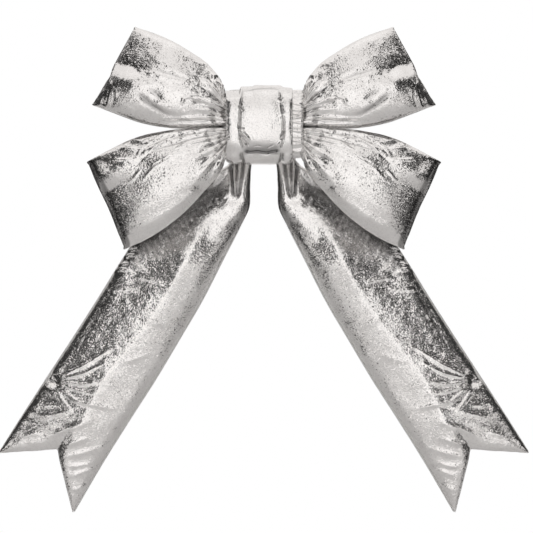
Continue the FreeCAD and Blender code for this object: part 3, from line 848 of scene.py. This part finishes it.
# Where the crest of the puffed front lies across the tail, from its top to its cut.
CREST_AT = [0.0, 0.2, 0.35, 0.5, 0.62, 0.72, 0.85, 1.0]
CREST = [0.4, 0.38, 0.38, 0.37, 0.42, 0.48, 0.45, 0.45]


class Tail:
    """One tail, drawn on the right-hand side."""

    def __init__(self):
        inner = [(5, 6), (9, -25), (16, -50), (18, -80), (19, -107), (30, -131), (53, -176),
                 (80, -229), (111, -282), (142, -334), (176, -387), (211, -443), (249, -508)]
        outer = [(22, 6), (27, -22), (46, -50), (92, -80), (142, -112), (187, -176),
                 (220, -229), (254, -282), (288, -334), (324, -390), (348, -428)]
        self.inner = path(np.array(inner) * MM)
        self.outer = path(np.array(outer) * MM)
        self.tip_a = np.array([249, -508]) * MM
        self.tip_b = np.array([348, -428]) * MM
        self.notch = np.array([271, -425]) * MM
        self.notch_at = 0.546
        self.waves = Waves(41)
        self.fine = Waves(42)

    def place(self, rows, columns):
        """The grid: u runs down the tail, v from its inner to its outer edge."""
        half = columns // 2
        inner = np.linspace(0, self.notch_at, half, endpoint=False)
        outer = np.linspace(self.notch_at, 1, columns - half)
        return np.meshgrid(np.linspace(0, 1, rows), np.append(inner, outer), indexing="ij")

    def flat(self, u, v):
        """Position in the bow's plane."""
        a, b = self.inner(u), self.outer(u)
        row = a + (b - a) * v[..., None]
        straight = self.tip_a + (self.tip_b - self.tip_a) * v[..., None]
        low = (v / self.notch_at)[..., None]
        high = ((v - self.notch_at) / (1 - self.notch_at))[..., None]
        cut = np.where(
            low < 1,
            self.tip_a + (self.notch - self.tip_a) * low,
            self.notch + (self.tip_b - self.notch) * high,
        )
        return row + (cut - straight) * (smooth(u, 0.5, 1.0) ** 1.5)[..., None]

    def puff(self, u, v):
        """How far the padded front stands out, 0 at the edges and 1 on its crest."""
        crest = np.interp(u, CREST_AT, CREST)
        side = np.where(v < crest, v / crest, (1 - v) / (1 - crest))
        return 1 - (1 - side) ** 1.2

    def build(self, name, rows, columns, thick=12 * MM, proud=14 * MM):
        """The tail as a closed sleeve, as thick as a flat band, whose front stands proud
        below the loops. Under them it is rolled over along its inner edge."""
        u, v = [grid[:, ::-1] for grid in self.place(rows, columns)]
        flat = self.flat(u, v)
        x, z = flat[..., 0], flat[..., 1]
        end = np.clip((1 - u) / 0.03, 0, 1)
        body = pinch(v, 0.12) * np.sqrt(1 - (1 - end) ** 2)
        swell = proud * smooth(u, 0.24, 0.42) * self.puff(u, v)
        swell = swell * (0.7 + 0.3 * smooth(1 - u, 0, 0.12))
        rise = np.where(v < 0.2, 1 - (1 - v / 0.2) ** 2, 1 - smooth(v, 0.38, 0.78))
        swell = swell + 6.5 * MM * rise * smooth(u, 0.07, 0.16) * (1 - smooth(u, 0.34, 0.5))
        front = TAIL_Y - (thick * 0.5 * (0.12 + 0.88 * body) + swell)
        back = TAIL_Y + thick * 0.5 * (0.12 + 0.88 * body)
        soft = 0.5 * MM * self.waves.at(x / MM, z / MM, 110) * body
        uv = np.stack([u * TAIL_LENGTH, v * TAIL_WIDTH], -1)
        front_grid = np.stack([x, front - soft, z], -1)
        back_grid = np.stack([x, back - soft, z], -1)
        return sleeve(name, front_grid, back_grid, uv, u, v)

    def crease(self, piece):
        """Fold and wrinkle the tail's surface after it has been filled, and store its painted
        shade.
        """
        u, v, sheet = read_place(piece)
        x, _, z = points_of(piece).T / MM
        front = 1 - smooth(sheet, 0.2, 0.8)
        height = fold_all(x, z, TAIL_FOLDS) * front
        crest = np.interp(u, CREST_AT, CREST)
        outer_half = smooth(v, crest - 0.05, crest + 0.1)
        # Painted shadow: a dark band just below the lower loop's edge, with an uneven border,
        # and painted shade along the inner edge near the top and in the valleys of the folds.
        edge_x, edge_z = x - LOOP_EDGE_START[0], z - LOOP_EDGE_START[1]
        below_loop = (LOOP_EDGE_STEP[1] * edge_x - LOOP_EDGE_STEP[0] * edge_z) / LOOP_EDGE_LENGTH
        uneven = 5 * self.fine.at(x, z, 9)
        painted_loop_shadow = (1 - smooth(below_loop + uneven, 14, 36)) * (1 - smooth(x, 165, 195))
        painted_inner_edge_shade = (1 - smooth(v, 0.06, 0.15)) * (1 - smooth(u, 0.18, 0.36))
        shade = np.maximum(0.85 * painted_loop_shadow * smooth(x, 44, 60), 0.8 * painted_inner_edge_shade)
        write_painted_shade(piece, shade * front - height / TAIL_FOLD_FULL_PAINTED_SHADE)
        height += 0.12 * MM * outer_half * self.fine.folded(x, z, 26)
        height += 0.20 * MM * (1 - front) * self.fine.folded(x, z, 40)
        height += 0.12 * MM * self.fine.at(x, z, 34)
        away = np.hypot(x - TACK[0], z - TACK[1])
        height -= TACK_DEPTH * np.exp(-((away / TACK_RADIUS) ** 2))
        emboss(piece, height)


def make_tails():
    """Covers and wadding of both tails."""
    tail = Tail()
    rows = 190
    columns = 56
    right = tail.build("right_tail_sleeve", rows, columns)
    u, _ = tail.place(rows, columns)
    hold = 1 - smooth(u, 0.05, 0.25)
    inflate(right, np.tile(hold.ravel(), 2), extra_cloth=0.006)
    subdivide(right)
    tail.crease(right)
    inside = tail.build("right_tail_pad", 70, 21, thick=4 * MM, proud=8 * MM)
    make_both_sides("tail", right, inside)


# ---- knot ----

# The knot cover's ends and the middle of its puff along X, in millimetres like all below.
KNOT_LEFT = -49.0
KNOT_RIGHT = 37.0
KNOT_MIDDLE = -3.0

# Folds of the knot's front, as points in the bow's plane in millimetres.
KNOT_FOLDS = [
    # the two stitched seams beside the puffed middle
    ([(-27, 46), (-30, 25), (-31.5, 0), (-31, -20), (-27, -36)], 1.1, -1.5, 0, 0.1, 0.1),
    ([(19, 44), (23, 22), (25.5, 0), (25, -20), (21, -36)], 1.1, -1.5, 0, 0.1, 0.1),
    # soft padded bands outside the seams
    ([(-40, 44), (-42, 10), (-40, -40)], 6.5, 0.9, 0, 0.2, 0.2),
    ([(31, 44), (32, 10), (31, -40)], 5, 0.7, 0, 0.2, 0.2),
    # puckers that the stitches pull in
    ([(-33, 22), (-29, 19), (-27, 14)], 1.2, -1.5, 0, 0.2, 0.3),
    ([(-34, -4), (-30, -7), (-25, -8)], 1.3, -1.6, 0, 0.2, 0.3),
    ([(-32, -9), (-24, -17), (-16, -26)], 2.2, 2, 0.5, 0.1, 0.4),
    ([(-31, -15), (-24, -23), (-19, -31)], 1.5, -1.7, 0, 0.1, 0.4),
    ([(-30, -20), (-25, -28), (-21, -35)], 2, 1.8, 0, 0.1, 0.4),
    ([(25, 33), (21, 30), (17, 31)], 1.2, -1.4, 0, 0.2, 0.4),
    ([(25, 27), (20, 25), (16, 27)], 1.2, 1.3, 0, 0.2, 0.4),
    ([(27, 18), (24, 10), (22, 0)], 1.4, 1.3, 0.3, 0.3, 0.4),
    ([(27, -10), (23, -16), (22, -24)], 1.3, -1.4, 0, 0.2, 0.4),
    ([(26, -22), (21, -26), (16, -30)], 1.4, 1.3, 0, 0.1, 0.4),
    # the tuck above the rolled lower edge
    ([(-28, -36), (-18, -38), (-8, -37), (3, -39), (12, -37), (22, -35)],
     1.4, -2.2, 0, 0.15, 0.15),
    ([(-16, -31), (-8, -29), (0, -30.5)], 0.9, -0.7, 0, 0.4, 0.4),
    ([(2, -33), (9, -30), (15, -26)], 0.9, -0.7, 0, 0.4, 0.4),
    # notches where the seams cross the rolled edge
    ([(-30, -36), (-26, -53)], 2.2, -2.2, 0, 0.3, 0.05),
    ([(24, -36), (20, -53)], 2.2, -2.2, 0, 0.3, 0.05),
    # layers that overlap along the upper edge
    ([(-30, 41), (-8, 44), (12, 45), (24, 41)], 1.2, -1.2, 0, 0.3, 0.3),
    ([(-12, 39), (0, 41), (14, 41)], 1.2, 0.7, 0, 0.3, 0.3),
]


def wrapped_ring(name, ends, half_depth, half_height, wall, relief, counts):
    """A thick ring of cloth round the X axis at the knot. relief gives its outer surface's
    height from x and z in millimetres, the place round the ring and whether it is in front,
    and counts are its points round the ring and round its wall."""
    left, right = ends
    around, through = counts
    section = superellipse(around, half_depth, half_height, 3.1)
    tangent = np.roll(section, -1, axis=0) - np.roll(section, 1, axis=0)
    outward = np.stack([tangent[:, 1], -tangent[:, 0]], -1)
    outward /= np.linalg.norm(outward, axis=1, keepdims=True)
    profile = superellipse(through, (right - left) / 2, wall / 2, 5)
    x, level, outer, z, turn, front = np.broadcast_arrays(
        (profile[:, 0] + (left + right) / 2)[:, None],
        (profile[:, 1] - wall / 2)[:, None],
        smooth(profile[:, 1], -wall * 0.1, wall * 0.4)[:, None],
        section[:, 1],
        np.linspace(0, 1, around, endpoint=False),
        smooth(-section[:, 0], -4, 4),
    )
    level = level + relief(x, z, turn, front) / MM * outer
    y = section[:, 0] + outward[:, 0] * level
    height = z + outward[:, 1] * level
    points = np.stack([x * MM, KNOT_Y + y * MM, height * MM], -1)
    index = np.arange(around * through).reshape(through, around)
    a, b = index, np.roll(index, -1, axis=0)
    c, d = np.roll(b, -1, axis=1), np.roll(a, -1, axis=1)
    faces = np.stack([a, b, c, d], -1).reshape(-1, 4)
    uv = np.stack([turn * 0.26, x * MM], -1)
    return mesh_object(name, points.reshape(-1, 3), faces, uv.reshape(-1, 2))


def knot_relief(x, z, turn, front):
    """Puffed middle, seams, folds and soft wrinkles of the knot cover."""
    waves = Waves(61)
    dome = np.clip(1 - ((x + 3.5) / 29) ** 2, 0, 1)
    dome = dome * np.clip(1 - (np.abs(z - 6) / 45) ** 3, 0, 1)
    total = 2.2 * MM * dome * front
    total = total + fold_all(x, z, KNOT_FOLDS) * front
    roll = np.exp(-(((z + 48) / 6) ** 2)) * np.clip(1 - ((x - KNOT_MIDDLE) / 25) ** 16, 0, 1)
    total = total + 2.4 * MM * roll * front + 2.0 * MM * smooth(-z, 37, 46) * front
    for x_lump in (-38, 30):
        lump = np.exp(-(((x - x_lump) / 6) ** 2 + ((z + 46) / 7) ** 2))
        total = total + 3.0 * MM * front * lump
    steps = 1.4 * smooth(x, -15, -12) - 4.5 * (1 - smooth(x, -33, -29)) - 2.0 * smooth(x, 21, 26)
    total = total + MM * steps * smooth(z, 30, 44)
    total = total + 0.25 * MM * waves.folded(x, turn * 260, 26) * (1 - front)
    total = total + 0.25 * MM * waves.at(x, z, 30) * front
    return total


def wrap_relief(x, z, turn, front):
    """Close irregular pleats across the gathered strip, deepest at its free edges."""
    rng = np.random.default_rng(71)
    total = np.zeros(x.shape)
    count = 44
    for number in range(count):
        at = (number + rng.uniform(-0.3, 0.3)) / count
        gap = (turn - at + 0.5) % 1 - 0.5
        sway = 0.004 * np.sin(x / 5 + rng.uniform(0, 6))
        width = rng.uniform(0.004, 0.008)
        total += rng.uniform(1.2, 2.8) * MM * np.exp(-(((gap + sway) / width) ** 2))
    return total * (0.35 + 0.65 * smooth(np.abs(x), 30, 44))


def no_relief(x, z, turn, front):
    """A plain ring."""
    return np.zeros(x.shape)


def keep_on_knot(piece, material, cad):
    """Finish a piece that rides on the knot, and hide the CAD part it stands for."""
    dress(piece, material)
    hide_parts(cad)
    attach(piece, "knot")


def make_knot():
    """Knot cover, the wadding under it and the gathered strip inside both."""
    ends = (KNOT_LEFT, KNOT_RIGHT)
    cover = wrapped_ring("knot_band", ends, 38.0, 48.5, 7.0, knot_relief, (440, 260))
    across, behind, up = ((points_of(cover) - [0, KNOT_Y, 0]) / MM).T
    in_front = smooth(-behind, 10, 20)
    folds = fold_all(across, up, KNOT_FOLDS)
    # Painted shade: a dark band just above the rolled lower edge of the knot's front, and in the
    # valleys of the folds.
    painted_roll_shade = np.exp(-((np.maximum(up + 38, 0) / 9) ** 2)) * smooth(up, -42, -39)
    painted_roll_shade = painted_roll_shade * smooth(26 - np.abs(across - KNOT_MIDDLE), 0, 8)
    write_painted_shade(cover, (0.8 * painted_roll_shade - folds / KNOT_FOLD_FULL_PAINTED_SHADE) * in_front)
    keep_on_knot(cover, TIGHT_LAME, "knot_cover")
    ends = (KNOT_LEFT + 4, KNOT_RIGHT - 4)
    pad = wrapped_ring("knot_band_pad", ends, 34.0, 44.5, 2.0, no_relief, (96, 24))
    keep_on_knot(pad, WADDING, "knot_wadding")
    ends = (-46.0, 51.0)
    strip = wrapped_ring("gathered_strip", ends, 31.5, 42.0, 4.0, wrap_relief, (520, 90))
    keep_on_knot(strip, LAME, "inner_wrap")


# ---- camera, floor and light ----

# Boards that the foil reflects. Each is seen from the bow at an angle to the side of the
# camera, at a distance, with a width, a lowest and highest point in metres and a grey level.
BOARDS = (
    ("near_flag", 32, 2.4, 0.92, -0.42, 1.9, 0.045),
    ("high_flag", 58, 2.4, 1.28, 0.42, 1.9, 0.045),
    ("low_flag", 74, 2.4, 2.9, -1.8, -0.42, 0.045),
    ("side_flag", 91, 2.4, 1.8, -0.40, 1.9, 0.045),
    ("rear_flag", 134, 2.4, 2.1, -1.0, 1.3, 0.10),
)

ROOM_LEVEL = 0.86
FLOOR_Z = -1.3
FLOOR_SIZE = 8
CAMERA_AT = (3.3 * MM, -4.0, -185 * MM)
CAMERA_LENS = 205


def plane(name, centre, size, turn):
    """A flat stage piece, with an empty material of its own."""
    bpy.ops.mesh.primitive_plane_add(size=1)
    made = bpy.context.object
    made.name = name
    made.scale = (size[0], size[1], 1)
    made.rotation_euler = turn
    made.location = centre
    material, tree, shader, place = new_material(name)
    made.data.materials.append(material)
    return made, tree, shader, place


def card(name, centre, size, turn, grey):
    """A board outside the camera's view that the foil reflects."""
    board, tree, shader, place = plane(name, centre, size, turn)
    mottle = texture(tree, place, "Noise", Scale=6.0)
    tint(tree, shader, mottle, [(0.3, grey * 0.8), (0.7, grey * 1.2)])
    tune(shader, {"Roughness": 1.0})
    board.visible_camera = False


def soft_light(name, place, size, power, target):
    """A rectangular softbox that faces a point of the bow."""
    light = bpy.data.lights.new(name, "AREA")
    light.shape = "RECTANGLE"
    light.size, light.size_y = size
    light.energy = power
    lamp = bpy.data.objects.new(name, light)
    lamp.location = place
    direction = Vector(target) - Vector(place)
    lamp.rotation_euler = direction.to_track_quat("-Z", "Y").to_euler()
    bpy.context.scene.collection.objects.link(lamp)


def make_floor():
    """Pale plain floor well below the hanging bow."""
    size = (FLOOR_SIZE, FLOOR_SIZE)
    _, tree, shader, place = plane("floor", (0, 0, FLOOR_Z), size, (0, 0, 0))
    mottle = texture(tree, place, "Noise", Scale=3.0, Detail=4.0)
    tint(tree, shader, mottle, [(0.3, 0.86), (0.7, 0.9)])
    tune(shader, {"Roughness": 0.9})


def make_stage():
    """A white backdrop, a warm pale room and dark boards that only the foil sees, and soft
    lights in front and overhead."""
    world = bpy.data.worlds.new("studio")
    bpy.context.scene.world = world
    world.use_nodes = True
    tree = world.node_tree
    room = tree.nodes["Background"]
    tune(room, {"Color": (1.0, 0.97, 0.95, 1), "Strength": ROOM_LEVEL})
    backdrop = node(tree, "Background", Color=(1, 1, 1, 1))
    ray = node(tree, "LightPath")
    choice = node(tree, "MixShader")
    link(tree, ray, "Is Camera Ray", choice, "Fac")
    link(tree, room, 0, choice, 1)
    link(tree, backdrop, 0, choice, 2)
    link(tree, choice, 0, tree.nodes["World Output"], "Surface")
    make_floor()
    for sign, word in ((-1, "left"), (1, "right")):
        for name, angle, distance, width, low, high, grey in BOARDS:
            turn = math.radians(angle) * sign
            centre = (distance * math.sin(turn), -distance * math.cos(turn), (low + high) / 2)
            card(f"{name}_{word}", centre, (width, high - low), (math.pi / 2, 0, turn), grey)
    soft_light("front", (0, -4.6, -0.1), (3.6, 2.8), 5.5, (0, 0, -0.15))
    soft_light("overhead", (0, -0.9, 2.8), (2.4, 1.6), 1.5, (0, 0, 0))
    scene = bpy.context.scene
    scene.view_settings.view_transform = "Standard"
    scene.view_settings.look = "None"


def make_camera():
    """Long lens, level with the middle of the bow and square to it."""
    camera = bpy.data.cameras.new("camera")
    holder = bpy.data.objects.new("camera", camera)
    bpy.context.scene.collection.objects.link(holder)
    camera.lens = CAMERA_LENS
    camera.sensor_width = 36
    camera.clip_end = 50
    holder.location = CAMERA_AT
    holder.rotation_euler = (math.pi / 2, 0, 0)
    bpy.context.scene.camera = holder


# ---- the CAD pieces that stay ----


def dress_cad_pieces():
    """Materials for the pieces whose CAD shape is already right."""
    thread = thread_material()
    finishes = {
        "waist_gather": PLAIN_LAME,
        "back_strap": PLAIN_LAME,
        "hanger_tab": PLAIN_LAME,
        "waist_tie": nylon_material(),
        "strap_staples": steel_material("staple_steel", (0.72, 0.72, 0.73), 0.4),
        "hanging_loop": steel_material("hanger_wire", (0.62, 0.62, 0.64), 0.6),
        "left_tail_tack_stitch": thread,
        "right_tail_tack_stitch": thread,
    }
    for name, material in finishes.items():
        dress(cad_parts[name], material)


make_camera()
make_stage()
make_loop(UPPER)
make_loop(LOWER)
make_tails()
make_knot()
dress_cad_pieces()
